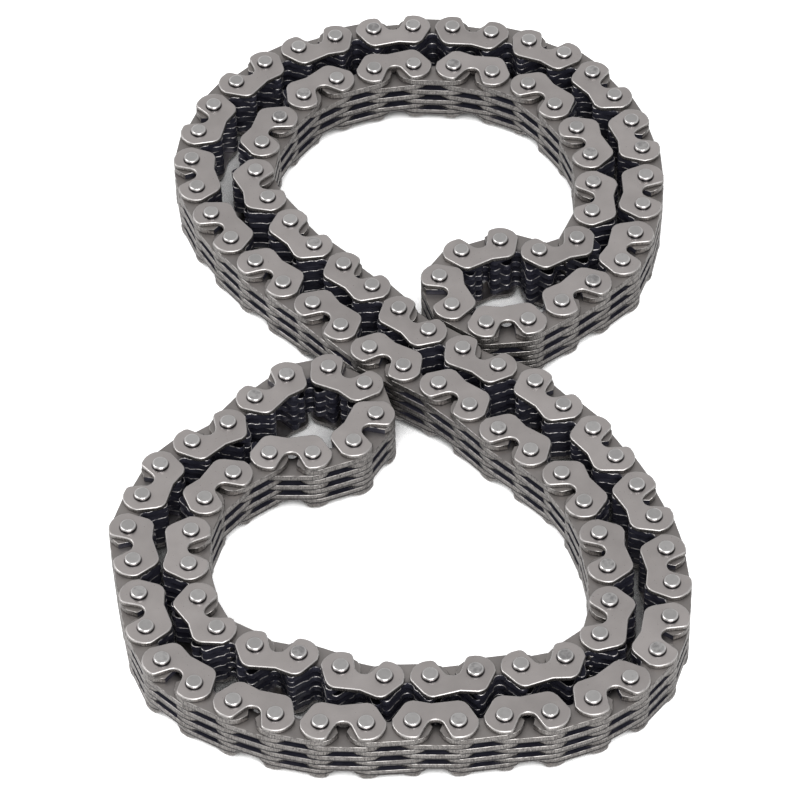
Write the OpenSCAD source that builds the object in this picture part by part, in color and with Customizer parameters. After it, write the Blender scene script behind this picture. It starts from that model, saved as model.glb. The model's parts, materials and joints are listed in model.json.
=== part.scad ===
// Inverted-tooth cam chain of an engine, a closed ring of 126 links that lies folded up on a table.
// X runs across the heap, Y along it and Z up. The origin is on the table, under the middle of the
// chain's outer box. The teeth point into the ring. Every second link is a guide link: it has three
// toothed plates and an outer guide plate on each side. The links between them have four toothed plates.

/* [Chain] */
// Distance between neighbouring pins
pitch = 6.35; // [6.25:0.01:6.45]
// Toothed plates in a guide link; the other links have one more
inner_plates = 3; // [1:1:5]
// Play between neighbouring plates
play = 0.05; // [0.03:0.01:0.09]

/* [Toothed plates] */
// Thickness of a toothed plate
tooth_t = 1.0; // [0.7:0.05:1.3]
// How far the teeth reach from the pins' line
tooth_reach = 3.85; // [3.6:0.05:3.9]
// Radius of the two tips of a toothed plate
toe_r = 0.75; // [0.4:0.05:0.8]
// Distance from a pin's middle to the tooth flank beside it
tooth_flank = 2.1; // [1.9:0.05:2.3]
// Radius at the bottom of the gap between the two teeth
crotch_r = 0.9; // [0.7:0.05:1]
// How far the gap between the teeth stays from the pins' line
crotch_depth = 0.7; // [0.5:0.05:1]

/* [Guide plates] */
// Thickness of a guide plate
guide_t = 0.7; // [0.5:0.05:1]
// How far a guide plate reaches from the pins' line on the teeth's side
guide_reach = 3.8; // [3.5:0.05:3.9]
// Distance from a pin's middle to the guide plate's flank beside it
guide_flank = 2.63; // [2.5:0.01:2.7]
// Radius of the guide plate's corners on the teeth's side
corner_r = 0.95; // [0.6:0.05:1]
// Depth of the shallow hollow between those corners
hollow = 0.6; // [0.3:0.05:0.7]
// Radius at the bottom of the notch in the guide plate's back
notch_r = 1.3; // [1:0.05:1.4]
// How far that notch reaches past the pins' line
notch_past = 0.3; // [0:0.05:0.5]
// Slope of the notch's sides, in degrees from the perpendicular to the link
notch_slope = 25; // [20:1:30]
// Rounding of the two lobes beside the notch
lobe_r = 0.65; // [0.4:0.05:0.8]

/* [Both plates] */
// Radius of the plates' ends round the pins
end_r = 2.85; // [2.7:0.01:2.9]
// Slope of the flanks, in degrees from the perpendicular to the link
flank = 30; // [28:0.5:32]

/* [Pins] */
// Diameter of a pin
pin_d = 2.35; // [2:0.05:2.5]
// How far a pin stands out of a guide plate
pin_stand = 0.6; // [0.5:0.05:1.2]
// Rounding of a pin's two ends
pin_round = 0.35; // [0.2:0.05:0.5]
// Radial play between a toothed plate and the pin it turns on
bore_play = 0.04; // [0.02:0.01:0.08]
// Radial gap between a guide plate and the pin that is riveted into it
seat_play = 0.01; // [0.01:0.005:0.02]

/* [Hidden] */
$fn = 48;
links = 126;
// Points that the ring of pins passes on its way, with the first point on the first pin. They are
// places on the half-millimetre grid of a chain with the nominal pitch, in ring order.
nominal_pitch = 6.35;
route = [
    [13.5, 5], [20, 5.5], [25.5, 9.5], [29, 12.5], [34, 16.5], [38, 28], [39, 41],
    [35.5, 53.5], [28, 64], [16.5, 69.5], [4, 71.5], [-8.5, 69.5], [-20, 63.5], [-28, 53.5],
    [-31, 41], [-27.5, 29], [-20.5, 18.5], [-11.5, 9], [-3.5, 0], [7, -8], [15, -17],
    [24, -26.5], [28.5, -38.5], [29, -51], [27, -56.5], [22, -60], [9, -62], [-3, -62.5],
    [-16, -57.5], [-20.5, -56.5], [-26, -53], [-30, -41.5], [-28, -29], [-19, -20.5], [-12, -20.5],
    [-6, -18], [-3, -12], [-5, -6.5], [-8.5, -3.5], [-15.5, -4.5], [-20, -8], [-24, -13.5],
    [-34, -21.5], [-38, -33.5], [-37, -46], [-33.5, -58.5], [-23, -66.5], [-11, -70.5], [1, -70.5],
    [15, -70.5], [27.5, -66.5], [35.5, -58.5], [38, -46.5], [36, -33.5], [30.5, -21], [23.5, -10],
    [14.5, -3.5], [4, 4.5], [-4, 14], [-13, 24], [-20, 34.5], [-21, 41], [-19.5, 47],
    [-12.5, 57], [-1, 62], [11.5, 62], [17.5, 59.5], [23, 56], [29.5, 45.5], [31.5, 34],
    [30, 27], [27, 21.5], [21.5, 20], [15.5, 22.5], [10, 20], [6.5, 14], [8.5, 11]
];
// How much the route is stretched so that the last two links close the ring without a kink
route_stretch = 1.0044;
route_unit = route_stretch * pitch / nominal_pitch;
// Links that fold, in ring order, and the pairs of them that lie parallel, so that one copies the other
fold_links = [35, 45, 55, 69, 81, 93, 101, 105, 111, 117, 7, 15, 23, 29];
twins = [[35, 93], [45, 81], [55, 69], [7, 117], [15, 111], [23, 105], [29, 101]];
sections = len(fold_links);
// Furthest, in route points, that the next pin can lie ahead, and how often that stretch is halved
look_ahead = 2.2;
halvings = 32;

layers = 2 * inner_plates + 1;
plates_z = pin_stand + guide_t + play;
top_guide_z = plates_z + layers * (tooth_t + play);
pin_len = top_guide_z + guide_t + pin_stand;
half = pitch / 2;
arc_step = 30;
// How far an edge passes through a circle that it would only touch, so that the two cross cleanly
dip = 0.002;

function two_digits(n) = str(n < 10 ? "0" : "", n);

// A point of the closed curve through the route, u route points from its start
function way(k) = route[(k + len(route)) % len(route)] * route_unit;
function on_route(u) =
    let (k = floor(u), t = u - k, a = way(k - 1), b = way(k), c = way(k + 1), d = way(k + 2))
    (2 * b + (c - a) * t + (2 * a - 5 * b + 4 * c - d) * t * t + (3 * b - a - 3 * c + d) * t * t * t) / 2;

// How far along the curve the point is that lies one pitch from a pin
function one_pitch_on(pin, low, high, n) =
    let (mid = (low + high) / 2)
    n == 0 ? mid
    : norm(on_route(mid) - pin) < pitch ? one_pitch_on(pin, mid, high, n - 1)
    : one_pitch_on(pin, low, mid, n - 1);

// The earlier link that link i lies parallel to, if it has one
function twin(i) = [for (pair = twins) if (pair[1] == i) pair[0]][0];

// All pins but the last, walked along the route from the ones laid so far
function walked(laid, u) =
    len(laid) == links - 1 ? laid
    : let (i = len(laid) - 1, ahead = one_pitch_on(laid[i], u, u + look_ahead, halvings), t = twin(i))
    walked(concat(laid, [is_undef(t) ? on_route(ahead) : laid[i] + laid[t] - laid[t + 1]]), ahead);

// The last pin lies one pitch from both the pin before it and the first, on the outer side of the line
function closed(laid) =
    let (gap = laid[0] - laid[links - 2], out = [gap.y, -gap.x] / norm(gap))
    concat(laid, [laid[links - 2] + gap / 2 + out * sqrt(pitch * pitch - gap * gap / 4)]);

function middle(values) = (min(values) + max(values)) / 2;
function centred(laid) =
    let (mid = [middle([for (p = laid) p.x]), middle([for (p = laid) p.y])])
    [for (p = laid) p - mid];

pins = centred(closed(walked([way(0)], 0)));

// Links of section k, counted in the ring; a section is what lies between two folding links
function first_link(k) = fold_links[(k - 2 + sections) % sections] + 1;
function link_count(k) = (fold_links[k - 1] - first_link(k) + links) % links;
function section_links(k) = [for (j = [0:link_count(k) - 1]) (first_link(k) + j) % links];
function is_guide(i) = i % 2 == 0;

// A point of the circle round c, and points of an arc from one angle to another
function on_arc(c, r, at) = c + r * [cos(at), sin(at)];
function arc(c, r, from, to) =
    let (n = ceil(abs(to - from) / arc_step))
    [for (j = [0:n]) on_arc(c, r, from + (to - from) * j / n)];
function mirrored(points) = [for (j = [len(points) - 1:-1:0]) [-points[j].x, points[j].y]];

// Middle of a rounded corner of radius r that touches a flank and reaches a distance from the pins' line
function corner(gap, r, reach) =
    [(gap + half * cos(flank) - r - (reach - r) * sin(flank)) / cos(flank), reach - r];

// A link lies with its middle at the origin, its pins on X and its teeth towards +Y
module on_link(i) {
    a = pins[i];
    b = pins[(i + 1) % links];
    translate([(a.x + b.x) / 2, (a.y + b.y) / 2, 0]) rotate(atan2(b.y - a.y, b.x - a.x)) children();
}

module both_pins() {
    for (side = [-1, 1]) translate([side * half, 0]) children();
}

// Cuts away what lies outside the two flanks, which pass a pin's middle at a distance
module outside_flanks(gap) {
    far = 3 * end_r;
    for (side = [0, 1])
        mirror([side, 0]) translate([half, 0]) rotate(flank) translate([gap, -far / 2]) square([far, far]);
}

// Body of a plate: straight back, round ends, straight flanks and two round tips. The right half of its
// outline between the tips is given from a tip inwards.
module plate_body(gap, tip, tip_r, between) {
    right = concat([[half, -end_r], [half + end_r, end_r / 2], on_arc(tip, tip_r, flank)], between);
    difference() {
        union() {
            polygon(concat(right, mirrored(right)));
            both_pins() circle(r = end_r);
            for (side = [-1, 1]) translate([side * tip.x, tip.y]) circle(r = tip_r);
        }
        outside_flanks(gap);
    }
}

// Flat outline of a toothed plate: a rounded gap parts its two teeth, and the sides of the gap run
// smoothly from the tips to its bottom
module tooth_outline() {
    toe = corner(tooth_flank, toe_r, tooth_reach);
    crotch = [0, crotch_depth + crotch_r];
    across = toe - crotch;
    slope = atan2(across.y, across.x) + asin((toe_r + crotch_r) / norm(across));
    from_toe = on_arc(toe, toe_r - dip, slope + 90);
    to_crotch = on_arc(crotch, crotch_r - dip, slope - 90);
    difference() {
        plate_body(tooth_flank, toe, toe_r, [from_toe, to_crotch]);
        translate(crotch) circle(r = crotch_r);
        both_pins() circle(r = pin_d / 2 + bore_play);
    }
}

// Flat outline of a guide plate: notched back with two round lobes, and a hollowed edge over the teeth
module guide_outline() {
    tip = corner(guide_flank, corner_r, guide_reach);
    hollow_r = (tip.x * tip.x + hollow * hollow) / (2 * hollow);
    difference() {
        notched() plate_body(guide_flank, tip, corner_r, [[tip.x, guide_reach - dip]]);
        translate([0, guide_reach - hollow + hollow_r]) circle(r = hollow_r);
        both_pins() circle(r = pin_d / 2 + seat_play);
    }
}

// Cuts the notch into a guide plate's back: a round bottom and sloping sides, which end in round lobes
module notched() {
    bottom = [0, notch_past - notch_r];
    low = lobe_r - end_r - dip;
    lobe = [(notch_r + lobe_r + (bottom.y - low) * sin(notch_slope)) / cos(notch_slope), low];
    side = [on_arc(bottom, notch_r - dip, notch_slope), on_arc(lobe, lobe_r - dip, notch_slope - 180)];
    right = concat(side, [lobe, [lobe.x, -2 * end_r]]);
    difference() {
        children();
        polygon(concat(right, mirrored(right)));
        translate(bottom) circle(r = notch_r);
    }
    for (way_out = [-1, 1]) translate([way_out * lobe.x, lobe.y]) circle(r = lobe_r);
}

module tooth_plates(i) {
    for (layer = [is_guide(i) ? 1 : 0:2:layers - 1])
        on_link(i) translate([0, 0, plates_z + layer * (tooth_t + play)])
            linear_extrude(tooth_t) tooth_outline();
}

module guide_plates(i) {
    for (z = [pin_stand, top_guide_z])
        on_link(i) translate([0, 0, z]) linear_extrude(guide_t) guide_outline();
}

// A pin is a round bar with rounded ends
module pin(i) {
    r = pin_d / 2;
    low = arc([r - pin_round, pin_round], pin_round, -90, 0);
    high = arc([r - pin_round, pin_len - pin_round], pin_round, 0, 90);
    translate([pins[i].x, pins[i].y, 0])
        rotate_extrude() polygon(concat([[0, 0]], low, high, [[0, pin_len]]));
}

// One section's pins, from the first pin of its first link to the last pin of its last
module section_pins(k) {
    color([0.68, 0.68, 0.67])
        for (j = [0:link_count(k)]) pin((first_link(k) + j) % links);
}

module section_guide_plates(k) {
    color([0.58, 0.56, 0.54])
        for (i = section_links(k)) if (is_guide(i)) guide_plates(i);
}

module section_tooth_plates(k) {
    color([0.30, 0.29, 0.30])
        for (i = section_links(k)) tooth_plates(i);
}

// The four toothed plates of the folding link that follows section k
module folding_link(k) {
    color([0.30, 0.29, 0.30])
        tooth_plates(fold_links[k - 1]);
}

for (k = [1:sections]) {
    section_pins(k);
    section_guide_plates(k);
    section_tooth_plates(k);
    folding_link(k);
}
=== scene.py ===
# Looks of an inverted-tooth cam chain that lies folded up on a white table. Lengths of the chain
# are in millimetres here and become metres where a mesh is made.
import json
import math

import bmesh
import bpy
from mathutils import Matrix, Vector
from mathutils.geometry import intersect_line_line


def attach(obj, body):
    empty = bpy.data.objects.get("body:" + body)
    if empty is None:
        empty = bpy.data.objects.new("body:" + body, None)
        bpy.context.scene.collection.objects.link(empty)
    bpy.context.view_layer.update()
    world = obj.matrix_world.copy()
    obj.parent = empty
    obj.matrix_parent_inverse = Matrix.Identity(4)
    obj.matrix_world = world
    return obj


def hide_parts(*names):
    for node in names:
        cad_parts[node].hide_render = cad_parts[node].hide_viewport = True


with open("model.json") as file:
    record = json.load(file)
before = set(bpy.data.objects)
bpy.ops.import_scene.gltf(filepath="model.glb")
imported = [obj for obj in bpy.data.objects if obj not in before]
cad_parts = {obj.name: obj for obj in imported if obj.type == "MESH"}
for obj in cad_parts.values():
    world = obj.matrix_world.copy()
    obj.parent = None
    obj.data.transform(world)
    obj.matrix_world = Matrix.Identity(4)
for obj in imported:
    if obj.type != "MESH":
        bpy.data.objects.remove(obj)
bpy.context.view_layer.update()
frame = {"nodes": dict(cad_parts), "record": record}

MM = 0.001

# Sizes of the chain, as in the model of the part
PITCH = 6.35
PIN_R = 1.175
PIN_LENGTH = 10.0
PIN_STAND = 0.6

# Heights in the chain: its middle, the upper guide plates' outer faces, and the levels past which
# toothed plates show through the guide plates' notches
CHAIN_MIDDLE = PIN_LENGTH / 2
TOP_FACE = PIN_LENGTH - PIN_STAND
TOP_LAYER = 7.0
BOTTOM_LAYER = 3.0

# Camera, fitted to the pins of the photograph
ELEVATION = math.radians(46.81)
ROLL = math.radians(-1.36)
DISTANCE = 0.6088
TARGET = Vector((0.00026, -0.01098, 0.0096))
FOCAL_PIXELS = 4140
PICTURE = 800
SENSOR = 36
CLIP_NEAR, CLIP_FAR = 0.01, 20

# Table and light, in metres, and levels at which 1 is white
TABLE_REACH = 1.5
TABLE_GAP = 0.00002
SKY_LIGHT = 0.75
SKY_SEEN = 0.8
TABLE_WHITE = 0.8
TABLE_EXTRA = 0.4
# Level of the table's painted shade in the narrow gaps of the heap
TABLE_PAINTED_SHADE = 0.06

# The layer of a mesh that the finishes read, and how far they move a piece's pattern at most, in
# millimetres
OWN_PLACE = "own_place"
FARTHEST_SHIFT = 91.0


# Nodes of a material, written as expressions


class Value:
    """A socket or a number in a material. Operators on values add Math nodes."""

    def __init__(self, paint, socket):
        self.paint = paint
        self.socket = socket

    def math(self, operation, *others, clamp=False):
        settings = {"operation": operation, "use_clamp": clamp}
        return self.paint.node("ShaderNodeMath", settings, dict(enumerate([self, *others])))

    def __add__(self, other):
        return self.math("ADD", other)

    def __sub__(self, other):
        return self.math("SUBTRACT", other)

    def __mul__(self, other):
        return self.math("MULTIPLY", other)

    def __truediv__(self, other):
        return self.math("DIVIDE", other)

    def __rsub__(self, other):
        return self.paint.node("ShaderNodeMath", {"operation": "SUBTRACT"}, {0: other, 1: self})

    __radd__ = __add__
    __rmul__ = __mul__

    def clamped(self):
        return self.math("ADD", 0.0, clamp=True)

    def ramp(self, low, high):
        """0 below low, 1 above high, and smooth between them."""
        return self.paint.node(
            "ShaderNodeMapRange",
            {"interpolation_type": "SMOOTHSTEP"},
            {"Value": self, "From Min": low, "From Max": high, "To Min": 0.0, "To Max": 1.0},
        )

    def part(self, axis):
        """One coordinate of a vector."""
        return self.paint.node("ShaderNodeSeparateXYZ", {}, {"Vector": self}, output=axis)


class Paint:
    """The nodes of a material, or of the world, under construction."""

    def __init__(self, owner, output="ShaderNodeOutputMaterial"):
        self.owner = owner
        owner.use_nodes = True
        self.tree = owner.node_tree
        self.tree.nodes.clear()
        self.output = self.tree.nodes.new(output)

    def node(self, kind, settings, sockets, output=0):
        made = self.tree.nodes.new(kind)
        for name, value in settings.items():
            setattr(made, name, value)
        for name, value in sockets.items():
            self.join(made.inputs[name], value)
        return Value(self, made.outputs[output])

    def join(self, socket, value):
        if isinstance(value, Value):
            self.tree.links.new(value.socket, socket)
        else:
            socket.default_value = value

    def own_place(self):
        """A point's place in its own plate, in millimetres: X along the link, and Y across it
        towards the teeth. On a pin they are measured from its axis. Z is a number from 0 to 1 that
        differs from piece to piece."""
        return self.node("ShaderNodeAttribute", {"attribute_name": OWN_PLACE}, {}, output="Vector")

    def height(self):
        """Height above the table, in millimetres."""
        return self.node("ShaderNodeTexCoord", {}, {}, output="Object").part("Z") / MM

    def scaled(self, vector, scale):
        return self.node("ShaderNodeMapping", {}, {"Vector": vector, "Scale": scale})

    def noise(self, vector, scale, detail, roughness=0.5):
        return self.node(
            "ShaderNodeTexNoise",
            {},
            {"Vector": vector, "Scale": scale, "Detail": detail, "Roughness": roughness},
        )

    def mix(self, factor, low, high):
        """A colour between two, each an (r, g, b) or a Value."""
        low = low if isinstance(low, Value) else (*low, 1.0)
        high = high if isinstance(high, Value) else (*high, 1.0)
        made = self.tree.nodes.new("ShaderNodeMix")
        made.data_type = "RGBA"
        self.join(made.inputs[0], factor)
        self.join(made.inputs[6], low)
        self.join(made.inputs[7], high)
        return Value(self, made.outputs[2])

    def bump(self, height, distance, strength=1.0):
        return self.node(
            "ShaderNodeBump", {}, {"Height": height, "Distance": distance, "Strength": strength}
        )

    def ray(self, kind):
        """1 for a ray of this kind and 0 for others."""
        return self.node("ShaderNodeLightPath", {}, {}, output=kind)

    def mix_shaders(self, factor, low, high):
        return self.node("ShaderNodeMixShader", {}, {0: factor, 1: low, 2: high})

    def finish(self, surface):
        """Takes this shader as the surface, and gives the material or the world."""
        self.join(self.output.inputs["Surface"], surface)
        return self.owner

    def principled(self, **sockets):
        named = {name.replace("_", " "): value for name, value in sockets.items()}
        return self.finish(self.node("ShaderNodeBsdfPrincipled", {}, named))


def new_paint(name):
    return Paint(bpy.data.materials.new(name))


# Finishes


def own_pattern(paint):
    """The own place, moved by a different amount for each piece, so that no two look the same."""
    own = paint.own_place()
    shift = own.part("Z") * FARTHEST_SHIFT
    return paint.node(
        "ShaderNodeCombineXYZ",
        {},
        {"X": own.part("X") + shift, "Y": own.part("Y") + shift, "Z": paint.height()},
    )


def satin_guide_plate():
    """Satin steel with faint streaks, small pits, and a painted contact shadow round each pin."""
    paint = new_paint("satin_guide_plate")
    pattern = own_pattern(paint)
    own = paint.own_place()
    along, across = own.part("X"), own.part("Y")
    clouds = paint.noise(pattern, scale=0.28, detail=2.0)
    grain = paint.noise(pattern, scale=9.0, detail=3.0, roughness=0.6)
    brushed = paint.scaled(pattern, (1.2, 14.0, 1.0))
    streaks = paint.noise(brushed, scale=1.0, detail=3.0, roughness=0.6)
    pits = paint.noise(pattern, scale=3.2, detail=1.0).ramp(0.70, 0.78)

    past_middle = along.math("ABSOLUTE") - PITCH / 2
    from_pin = (past_middle * past_middle + across * across).math("SQRT")
    # Painted shade: a dark ring round each pin, standing in for the contact shadow where the pin
    # meets the plate
    painted_contact_shadow = 1.0 - from_pin.ramp(PIN_R + 0.02, PIN_R + 0.22)

    light = (clouds * 0.6 + grain * 0.12 + streaks * 0.10 + own.part("Z") * 0.30).clamped()
    colour = paint.mix(light, (0.270, 0.250, 0.244), (0.465, 0.434, 0.424))
    colour = paint.mix(pits * 0.4, colour, (0.12, 0.11, 0.11))
    colour = paint.mix(painted_contact_shadow * 0.9, colour, (0.020, 0.019, 0.021))

    # Stamping leaves the faces slightly domed
    dome = along * along + across * across
    relief = grain * 0.005 + streaks * 0.005 - pits * 0.005 - dome * 0.010
    return paint.principled(
        Base_Color=colour,
        Metallic=1.0,
        Roughness=grain * 0.12 + pits * 0.2 + 0.30,
        Normal=paint.bump(relief, distance=MM),
    )


def rolled_edge():
    """The rounded outer edge of a guide plate, polished by handling."""
    paint = new_paint("rolled_edge")
    pattern = own_pattern(paint)
    grain = paint.noise(pattern, scale=5.0, detail=3.0, roughness=0.6)
    dents = paint.noise(pattern, scale=1.4, detail=2.0).ramp(0.55, 0.75)
    colour = paint.mix(grain, (0.30, 0.285, 0.278), (0.49, 0.472, 0.463))
    return paint.principled(
        Base_Color=paint.mix(dents * 0.5, colour, (0.20, 0.19, 0.185)),
        Metallic=1.0,
        Roughness=grain * 0.14 + 0.37,
    )


def sheared_edge():
    """A blanked plate's outer edge: torn and grainy, with a little brown oil in the grain. Painted
    shade darkens it in one band for each millimetre of height, close to the seams between the
    plates."""
    paint = new_paint("sheared_edge")
    pattern = own_pattern(paint)
    torn = paint.scaled(pattern, (7.0, 7.0, 0.9))
    tears = paint.noise(torn, scale=1.0, detail=4.0, roughness=0.65)
    grain = paint.noise(pattern, scale=7.5, detail=4.0, roughness=0.7)
    brown = paint.noise(pattern, scale=0.5, detail=2.0).ramp(0.45, 0.75)
    above_band = (paint.height() + 0.5).math("FRACT")
    # Painted shade: dark bands at the seams between stacked plates, one for each millimetre of
    # height
    painted_seam_shade = 1.0 - above_band.ramp(0.08, 0.42)

    light = (tears * 1.3 + grain * 1.7 - 1.1).clamped()
    colour = paint.mix(light, (0.024, 0.023, 0.024), (0.43, 0.405, 0.385))
    colour = paint.mix(brown * 0.3, colour, (0.055, 0.044, 0.038))
    colour = paint.mix(painted_seam_shade * 0.9, colour, (0.012, 0.012, 0.015))
    return paint.principled(
        Base_Color=colour,
        Metallic=1.0,
        Roughness=grain * 0.3 + 0.30,
        Normal=paint.bump(tears + grain * 0.8, distance=0.06 * MM, strength=0.7),
    )


def toothed_plate_face():
    """Satin grey by the back, and darker and glossier towards the teeth."""
    paint = new_paint("toothed_plate_face")
    pattern = own_pattern(paint)
    own = paint.own_place()
    clouds = paint.noise(pattern, scale=0.35, detail=2.0)
    grain = paint.noise(pattern, scale=8.0, detail=3.0, roughness=0.6)
    brushed = paint.scaled(pattern, (1.0, 12.0, 1.0))
    streaks = paint.noise(brushed, scale=1.0, detail=3.0, roughness=0.6)
    light = (clouds * 0.5 + grain * 0.2 + streaks * 0.15 + own.part("Z") * 0.25).clamped()
    # Darker and glossier towards the teeth
    oil = (own.part("Y") + clouds * 1.6).ramp(0.6, 2.2)
    colour = paint.mix(light, (0.150, 0.140, 0.136), (0.300, 0.280, 0.270))
    return paint.principled(
        Base_Color=paint.mix(oil, colour, (0.019, 0.019, 0.028)),
        Metallic=1.0,
        Roughness=grain * 0.2 + 0.36 - oil * 0.10,
        Normal=paint.bump(grain * 0.5 + streaks, distance=0.012 * MM, strength=0.4),
    )


def oiled_tooth_and_painted_shade():
    """Dark steel under a film of oil, its near-black colour also painting the shade of the narrow
    gaps between the teeth.
    """
    paint = new_paint("oiled_tooth_and_painted_shade")
    drops = paint.noise(own_pattern(paint), scale=0.7, detail=2.0)
    return paint.principled(
        # Partly painted shade: the near-black colour stands for oil and for the shade of the
        # narrow gaps between teeth
        Base_Color=paint.mix(drops, (0.009, 0.009, 0.015), (0.032, 0.032, 0.047)),
        Metallic=0.5,
        Roughness=drops * 0.25 + 0.26,
        Coat_Weight=drops.ramp(0.35, 0.65) * 0.25,
        Coat_Roughness=0.15,
        Normal=paint.bump(drops, distance=0.04 * MM, strength=0.3),
    )


def toe_edge():
    """The worn rim of a toothed plate, with light stretches along the back and on the teeth."""
    paint = new_paint("toe_edge")
    worn = paint.noise(own_pattern(paint), scale=1.1, detail=3.0, roughness=0.6).ramp(0.36, 0.60)
    teeth = paint.own_place().part("Y").ramp(-0.6, 0.8)
    bright = paint.mix(teeth, (0.30, 0.285, 0.275), (0.32, 0.308, 0.305))
    dull = paint.mix(teeth, (0.12, 0.112, 0.108), (0.018, 0.018, 0.026))
    return paint.principled(
        Base_Color=paint.mix(worn, dull, bright),
        Metallic=1.0,
        Roughness=0.46 - worn * 0.06,
    )


def turned_pin():
    """A turned, riveted pin: a flat grey end, a rounded rim lightened by a painted highlight,
    and painted shade where it meets the plate."""
    paint = new_paint("turned_pin")
    pattern = own_pattern(paint)
    own = paint.own_place()
    x, y, tone = own.part("X"), own.part("Y"), own.part("Z")
    from_axis = (x * x + y * y).math("SQRT")
    rim = from_axis.ramp(PIN_R - 0.32, PIN_R - 0.20)
    blotches = paint.noise(pattern, scale=1.1, detail=3.0, roughness=0.6)
    grain = paint.noise(pattern, scale=10.0, detail=2.0, roughness=0.6)
    stained = (tone + blotches * 0.9).ramp(1.25, 1.55)
    # Painted shade: the pin's side near the plate is darkened, standing in for its contact shadow
    painted_base_shade = 1.0 - paint.height().ramp(TOP_FACE + 0.22, TOP_FACE + 0.44)

    light = (blotches * 0.45 + grain * 0.15 + tone * 0.4).clamped()
    colour = paint.mix(light, (0.29, 0.283, 0.280), (0.52, 0.51, 0.505))
    colour = paint.mix(stained * 0.6, colour, (0.10, 0.095, 0.10))
    # Painted highlight: the rounded rim is lightened
    colour = paint.mix(rim * 0.7, colour, (0.56, 0.55, 0.545))
    colour = paint.mix(painted_base_shade * 0.95, colour, (0.020, 0.020, 0.024))
    return paint.principled(
        Base_Color=colour,
        Metallic=1.0,
        Roughness=blotches * 0.10 + 0.30 - rim * 0.04,
        Normal=paint.bump(blotches * 0.02, distance=MM, strength=0.4),
    )


def white_table():
    """White to the camera where light falls on it, with painted shade from ambient occlusion in
    the narrow gaps of the heap.
    """
    paint = new_paint("white_floor")
    open_sky = paint.node(
        "ShaderNodeAmbientOcclusion", {"samples": 8}, {"Distance": 12 * MM}, output="AO"
    )

    def diffuse(level):
        return paint.node("ShaderNodeBsdfDiffuse", {}, {"Color": (level, level, level, 1.0)})

    lit = paint.node("ShaderNodeAddShader", {}, {0: diffuse(TABLE_WHITE), 1: diffuse(TABLE_EXTRA)})
    # Painted shade: where ambient occlusion finds the floor closed in, the camera sees a
    # near-black floor
    seen = paint.mix_shaders(open_sky.ramp(0.08, 0.36), diffuse(TABLE_PAINTED_SHADE), lit)
    return paint.finish(paint.mix_shaders(paint.ray("Is Camera Ray"), diffuse(TABLE_WHITE), seen))


FINISHES = {
    "guide": [satin_guide_plate(), rolled_edge(), sheared_edge()],
    "toothed": [toothed_plate_face(), toe_edge(), sheared_edge(), oiled_tooth_and_painted_shade()],
    "pin": [turned_pin()],
}
FACE, RIM, BACK_EDGE, TOOTH_EDGE = range(4)


# Shapes. Two points closer than SAME are one, a face whose normal leans less than FLAT from
# straight up or down is a plate's face, and an edge that turns by more than CREASE stays sharp.

SAME = 1e-6
FLAT = 0.9
CREASE = math.radians(55)

# Zone round a pin's axis, in a plate's own place, that holds the bore and no other outline
BORE_ZONE = 1.5

# Arcs of an outline are its runs of sides shorter than LONG_SIDE that turn by less than SHARP
# each. A bore keeps a point for about every BORE_STEP degrees.
LONG_SIDE = 0.6
SHARP = math.radians(17)
BORE_STEP = 30

# A pin's sides, and the radius of its ends' rounding
PIN_SIDES = 20
PIN_ROUNDING = 0.22


def islands(shape):
    """The separate solids of a mesh, each a list of its vertices."""
    seen = set()
    found = []
    for start in shape.verts:
        if start in seen:
            continue
        seen.add(start)
        group, front = [start], [start]
        while front:
            for edge in front.pop().link_edges:
                for vertex in edge.verts:
                    if vertex not in seen:
                        seen.add(vertex)
                        group.append(vertex)
                        front.append(vertex)
        found.append(group)
    return found


def merged_copy(node):
    """A copy of a node's mesh with its doubles merged."""
    shape = bmesh.new()
    shape.from_mesh(frame["nodes"][node].data)
    bmesh.ops.remove_doubles(shape, verts=shape.verts, dist=SAME)
    return shape


def measured(node, kind, *others):
    """A Pin or a Plate for each solid of a node."""
    shape = merged_copy(node)
    found = [kind(group, *others) for group in islands(shape)]
    shape.free()
    return found


def tone_of(x, y, z):
    """A number from 0 to 1 that differs from place to place and is the same each run."""
    wave = math.sin(x * 12.9898 + y * 78.233 + z * 37.719) * 43758.5453
    return wave - math.floor(wave)


class Pin:
    """Where a pin stands and its size, in millimetres."""

    def __init__(self, group):
        low = [min(v.co[k] for v in group) / MM for k in range(3)]
        high = [max(v.co[k] for v in group) / MM for k in range(3)]
        self.axis = Vector(((low[0] + high[0]) / 2, (low[1] + high[1]) / 2))
        self.radius = (high[0] - low[0]) / 2
        self.low, self.high = low[2], high[2]
        self.tone = tone_of(self.axis.x, self.axis.y, 3.0)


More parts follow.
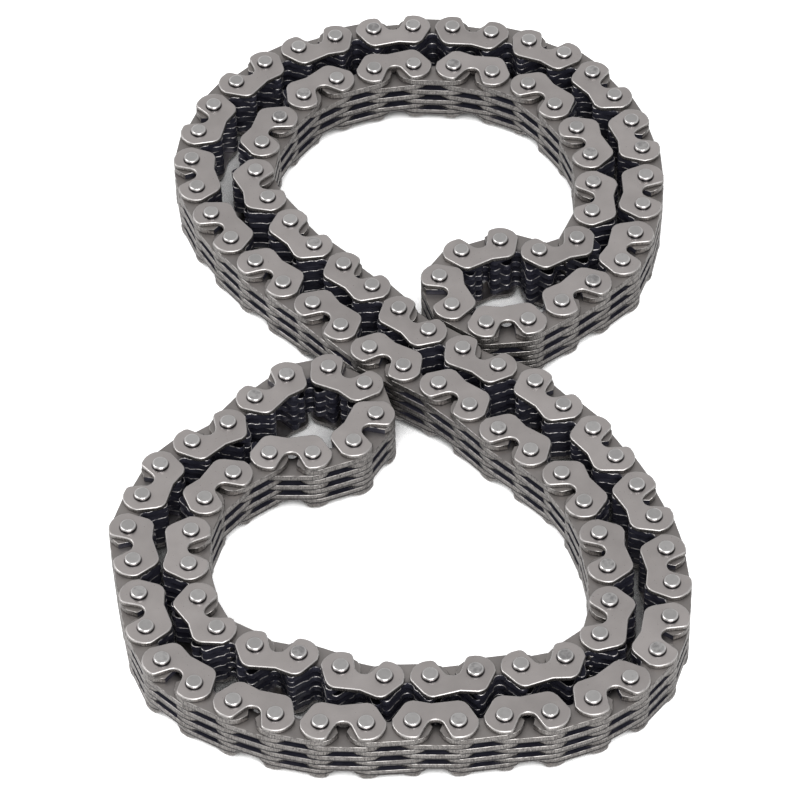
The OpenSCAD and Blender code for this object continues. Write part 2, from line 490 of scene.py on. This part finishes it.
class Plate:
    """Where a plate lies: its middle, and its directions along the link and towards the teeth.

    The plate's own two pins are the ones that more than a dozen of its points stand round."""

    PINS_NEAR = 6
    POINTS_ROUND_A_BORE = 12

    def __init__(self, group, axes):
        points = [v.co.xy / MM for v in group]
        centre = sum(points, Vector((0, 0))) / len(points)
        near = sorted(axes, key=lambda axis: (axis - centre).length)[: self.PINS_NEAR]

        def bore_radius(axis):
            return sorted((p - axis).length for p in points)[self.POINTS_ROUND_A_BORE]

        first, second = sorted(near, key=bore_radius)[:2]
        self.middle = (first + second) / 2
        self.along = (second - first).normalized()
        self.across = Vector((-self.along.y, self.along.x))
        reaches = [(p - self.middle).dot(self.across) for p in points]
        if -min(reaches) > max(reaches):
            self.along, self.across = -self.along, -self.across
        self.low = min(v.co.z for v in group) / MM
        self.high = max(v.co.z for v in group) / MM
        self.tone = tone_of(self.middle.x, self.middle.y, self.low)

    def matrix(self):
        """From the plate's own place, with its upper face at height 0, to the frame."""
        x, y = self.along, self.across
        return Matrix(
            (
                (x.x, y.x, 0, self.middle.x * MM),
                (x.y, y.y, 0, self.middle.y * MM),
                (0, 0, 1, self.high * MM),
                (0, 0, 0, 1),
            )
        )

    def downwards(self):
        """From the plate's upper face to its lower one, in metres."""
        return Vector((0, 0, (self.low - self.high) * MM))


def rims(shape):
    """The closed outlines of a flat shape, each a list of its vertices in order."""
    ends = [edge for edge in shape.edges if len(edge.link_faces) == 1]
    left = set(ends)
    found = []
    for edge in ends:
        if edge not in left:
            continue
        left.remove(edge)
        rim = [edge.verts[0], edge.verts[1]]
        while True:
            ahead = [e for e in rim[-1].link_edges if e in left]
            if not ahead:
                break
            left.remove(ahead[0])
            rim.append(ahead[0].other_vert(rim[-1]))
        found.append(rim[:-1])
    return found


def outer_rim(outlines):
    return max(outlines, key=lambda rim: max(v.co.x for v in rim))


def spare_points(rim, step):
    """The points of an outline's arcs that can go, so that the rest turn by about step degrees
    each."""
    count = len(rim)
    sides = [(rim[(k + 1) % count].co - rim[k].co).xy for k in range(count)]
    turns = [abs(sides[k - 1].angle_signed(sides[k], 0)) for k in range(count)]
    fixed = [
        k
        for k in range(count)
        if max(sides[k].length, sides[k - 1].length) > LONG_SIDE * MM or turns[k] > SHARP
    ]
    fixed = fixed or [0]
    spare = []
    for first, last in zip(fixed, fixed[1:] + [fixed[0] + count]):
        run = [k % count for k in range(first + 1, last)]
        total = sum(turns[k] for k in run)
        parts = max(1, round(total / math.radians(step)))
        passed, kept = 0.0, 1
        for k in run:
            passed += turns[k]
            if kept < parts and passed >= total * kept / parts - turns[k] / 2:
                kept += 1
            else:
                spare.append(rim[k])
    return spare


def widen_rounding(rim, chosen, factor):
    """Widens rounded corners of an outline, by growing each about the point where its two sides
    meet."""
    count = len(rim)
    inside = [chosen(abs(v.co.x) / MM, v.co.y / MM) for v in rim]
    grown = []
    for first in range(count):
        if not inside[first] or inside[first - 1]:
            continue
        last = first
        while inside[(last + 1) % count]:
            last += 1
        sides = [rim[k % count].co for k in (first - 1, first, last, last + 1)]
        apex = intersect_line_line(*sides)[0]
        for k in range(first, last + 1):
            vertex = rim[k % count]
            grown.append((vertex, apex + (vertex.co - apex) * factor))
    for vertex, place in grown:
        vertex.co = place


def upper_face(node, axes, step, corners):
    """The upper face of one plate of a node, in its own place, with its arcs thinned and some of
    its corners made rounder. Gives the plate too."""
    shape = merged_copy(node)
    group = islands(shape)[0]
    plate = Plate(group, axes)
    bmesh.ops.delete(shape, geom=list(set(shape.verts) - set(group)), context="VERTS")
    lower = [face for face in shape.faces if face.normal.z < FLAT]
    bmesh.ops.delete(shape, geom=lower, context="FACES")
    bmesh.ops.transform(shape, matrix=plate.matrix().inverted(), verts=shape.verts)
    outlines = sorted(rims(shape), key=len)
    outer = outer_rim(outlines)
    spare = []
    for rim in outlines:
        spare += spare_points(rim, step if rim is outer else BORE_STEP)
    bmesh.ops.dissolve_verts(shape, verts=spare)
    bmesh.ops.dissolve_limit(shape, angle_limit=0.01, verts=[], edges=shape.edges)
    outer = outer_rim(rims(shape))
    for chosen, factor in corners:
        widen_rounding(outer, chosen, factor)
    return shape, plate


def plate_shape(node, axes, step, roll, roll_steps, corners=()):
    """One plate of a node in its own place. Its arcs turn by about step degrees at each point, and
    its upper outline is rolled with this radius in millimetres."""
    shape, plate = upper_face(node, axes, step, corners)
    grown = bmesh.ops.extrude_face_region(shape, geom=list(shape.faces))
    below = [g for g in grown["geom"] if isinstance(g, bmesh.types.BMVert)]
    bmesh.ops.translate(shape, verts=below, vec=plate.downwards())
    for face in shape.faces:
        face.normal_update()
    bmesh.ops.recalc_face_normals(shape, faces=shape.faces)
    for face in shape.faces:
        face.material_index = FACE if abs(face.normal.z) > FLAT else BACK_EDGE
    rolled = [
        edge
        for edge in shape.edges
        if all(v.co.z > -SAME for v in edge.verts)
        and any(face.material_index == BACK_EDGE for face in edge.link_faces)
        and not in_bore(edge)
    ]
    bmesh.ops.bevel(
        shape,
        geom=rolled,
        offset=roll * MM,
        segments=roll_steps,
        profile=0.5,
        affect="EDGES",
        material=RIM,
        clamp_overlap=True,
    )
    return mesh_of(shape, "one_of_" + node)


def in_bore(edge):
    """Whether an edge of a plate in its own place lies on one of its bores."""
    middle = (edge.verts[0].co + edge.verts[1].co) / 2 / MM
    return math.hypot(abs(middle.x) - PITCH / 2, middle.y) < BORE_ZONE


def pin_shape(pin):
    """A turned bar with rounded ends, with the middle of its upper end at the origin."""
    shape = bmesh.new()
    length = (pin.high - pin.low) * MM
    bmesh.ops.create_cone(
        shape,
        cap_ends=True,
        segments=PIN_SIDES,
        radius1=pin.radius * MM,
        radius2=pin.radius * MM,
        depth=length,
        matrix=Matrix.Translation((0, 0, -length / 2)),
    )
    ends = [edge for edge in shape.edges if abs(edge.verts[0].co.z - edge.verts[1].co.z) < SAME]
    bmesh.ops.bevel(
        shape,
        geom=ends,
        offset=PIN_ROUNDING * MM,
        segments=2,
        profile=0.5,
        affect="EDGES",
        material=-1,
    )
    return mesh_of(shape, "one_pin")


def mesh_of(shape, name):
    """The mesh of a shape, which is then done with."""
    mesh = bpy.data.meshes.new(name)
    shape.to_mesh(mesh)
    shape.free()
    return mesh


def empty_shape():
    """A shape with a layer for each point's own place."""
    shape = bmesh.new()
    return shape, shape.verts.layers.float_vector.new(OWN_PLACE)


def add_copy(shape, layer, mesh, matrix, tone):
    """Adds one placed copy of a mesh, whose points keep their own place. Gives its faces."""
    first_vertex, first_face = len(shape.verts), len(shape.faces)
    shape.from_mesh(mesh)
    shape.verts.ensure_lookup_table()
    shape.faces.ensure_lookup_table()
    added = shape.verts[first_vertex:]
    for vertex in added:
        vertex[layer] = Vector((vertex.co.x / MM, vertex.co.y / MM, tone))
    bmesh.ops.transform(shape, matrix=matrix, verts=added)
    return shape.faces[first_face:]


def body_of(node):
    for body, nodes in frame["record"]["behaviour"]["bodies"].items():
        if node in nodes:
            return body


def finished(shape, node, finishes):
    """Makes the object of a shape, which stands for a node and rides on its body."""
    for face in shape.faces:
        face.smooth = True
    for edge in shape.edges:
        if len(edge.link_faces) == 2 and edge.calc_face_angle(0) > CREASE:
            edge.smooth = False
    mesh = mesh_of(shape, "looks_of_" + node)
    for finish in finishes:
        mesh.materials.append(finish)
    piece = bpy.data.objects.new("looks_of_" + node, mesh)
    bpy.context.scene.collection.objects.link(piece)
    even = piece.modifiers.new("flat_faces_stay_flat", "WEIGHTED_NORMAL")
    even.keep_sharp = True
    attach(piece, body_of(node))
    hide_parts(node)


def guide_plates(node, mesh, axes):
    """The rolled side of a guide plate is the one that faces out of the chain."""
    shape, layer = empty_shape()
    for plate in measured(node, Plate, axes):
        matrix = plate.matrix()
        turned = plate.high < CHAIN_MIDDLE
        if turned:
            matrix = matrix @ Matrix.Translation(plate.downwards())
            matrix = matrix @ Matrix.Scale(-1, 4, (0, 0, 1))
        faces = add_copy(shape, layer, mesh, matrix, plate.tone)
        if turned:
            bmesh.ops.reverse_faces(shape, faces=faces)
    finished(shape, node, FINISHES["guide"])


def toothed_plates(node, mesh, axes):
    """Edges towards the teeth and faces inside the stack take the dark oiled finish, which also
    paints the shade of the gaps they lie in. Faces that show from above or below are satin."""
    shape, layer = empty_shape()
    edge_of_dark_finish = -0.4
    for plate in measured(node, Plate, axes):
        outer_top = plate.high > TOP_LAYER
        outer_bottom = plate.low < BOTTOM_LAYER
        for face in add_copy(shape, layer, mesh, plate.matrix(), plate.tone):
            if face.material_index == BACK_EDGE:
                across = sum(v[layer].y for v in face.verts) / len(face.verts)
                # Edges towards the teeth take the dark finish that also paints the shade of the
                # gaps
                if across > edge_of_dark_finish:
                    face.material_index = TOOTH_EDGE
            elif face.material_index == FACE:
                shows = outer_top if face.normal.z > 0 else outer_bottom
                if not shows:
                    face.material_index = TOOTH_EDGE
    finished(shape, node, FINISHES["toothed"])


def turned_pins(node, mesh, pins):
    shape, layer = empty_shape()
    for pin in pins:
        place = Matrix.Translation((pin.axis.x * MM, pin.axis.y * MM, pin.high * MM))
        add_copy(shape, layer, mesh, place, pin.tone)
    finished(shape, node, FINISHES["pin"])


def over_teeth(x, y):
    return y > 3.25 and x > 3.4


def on_lobe(x, y):
    return y < -2.38 and x < 2.9


# These corners of the guide plates are rounder in the photograph than in the model of the part
ROUNDER = ((over_teeth, 1.8), (on_lobe, 1.5))

PINS = {n: measured(n, Pin) for n in sorted(frame["nodes"]) if n.startswith("pins_")}
AXES = [pin.axis for pins in PINS.values() for pin in pins]
GUIDE_PLATE = plate_shape(
    "guide_plates_01", AXES, step=15, roll=0.20, roll_steps=2, corners=ROUNDER
)
TOOTHED_PLATE = plate_shape("folding_link_01", AXES, step=22, roll=0.11, roll_steps=1)
ONE_PIN = pin_shape(PINS["pins_01"][0])

for node in sorted(frame["nodes"]):
    if node in PINS:
        turned_pins(node, ONE_PIN, PINS[node])
    elif node.startswith("guide_plates_"):
        guide_plates(node, GUIDE_PLATE, AXES)
    else:
        toothed_plates(node, TOOTHED_PLATE, AXES)


# Table, light and camera


def table():
    shape = bmesh.new()
    place = Matrix.Translation((0, 0, -TABLE_GAP))
    bmesh.ops.create_grid(shape, x_segments=1, y_segments=1, size=TABLE_REACH, matrix=place)
    mesh = mesh_of(shape, "table")
    mesh.materials.append(white_table())
    made = bpy.data.objects.new("table", mesh)
    bpy.context.scene.collection.objects.link(made)


def sky():
    """Even light from everywhere, a little brighter to the camera and in reflections."""
    world = bpy.data.worlds.new("studio")
    bpy.context.scene.world = world
    paint = Paint(world, "ShaderNodeOutputWorld")

    def even(strength):
        white = {"Color": (1.0, 1.0, 1.0, 1.0), "Strength": strength}
        return paint.node("ShaderNodeBackground", {}, white)

    either = paint.ray("Is Camera Ray").math("MAXIMUM", paint.ray("Is Glossy Ray"))
    paint.finish(paint.mix_shaders(either, even(SKY_LIGHT), even(SKY_SEEN)))


def lamp(name, place, size, power):
    """A round softbox that faces the chain."""
    data = bpy.data.lights.new(name, "AREA")
    data.shape = "DISK"
    data.size = size
    data.energy = power
    made = bpy.data.objects.new(name, data)
    made.location = place
    made.rotation_euler = (TARGET - Vector(place)).to_track_quat("-Z", "Y").to_euler()
    bpy.context.scene.collection.objects.link(made)


def camera():
    data = bpy.data.cameras.new("camera")
    data.sensor_width = SENSOR
    data.sensor_fit = "HORIZONTAL"
    data.lens = FOCAL_PIXELS * SENSOR / PICTURE
    data.clip_start = CLIP_NEAR
    data.clip_end = CLIP_FAR
    made = bpy.data.objects.new("camera", data)
    bpy.context.scene.collection.objects.link(made)
    ahead = Vector((0, math.cos(ELEVATION), -math.sin(ELEVATION)))
    up = Vector((0, math.sin(ELEVATION), math.cos(ELEVATION)))
    right = Vector((1, 0, 0))
    x = right * math.cos(ROLL) + up * math.sin(ROLL)
    y = up * math.cos(ROLL) - right * math.sin(ROLL)
    z = -ahead
    eye = TARGET - ahead * DISTANCE
    made.matrix_world = Matrix(
        ((x.x, y.x, z.x, eye.x), (x.y, y.y, z.y, eye.y), (x.z, y.z, z.z, eye.z), (0, 0, 0, 1))
    )
    bpy.context.scene.camera = made


table()
sky()
lamp("front_softbox", place=(0.10, -0.75, 0.70), size=0.70, power=14)
lamp("side_softbox", place=(-0.80, 0.10, 0.75), size=0.5, power=6)
camera()

bpy.context.scene.view_settings.view_transform = "Standard"
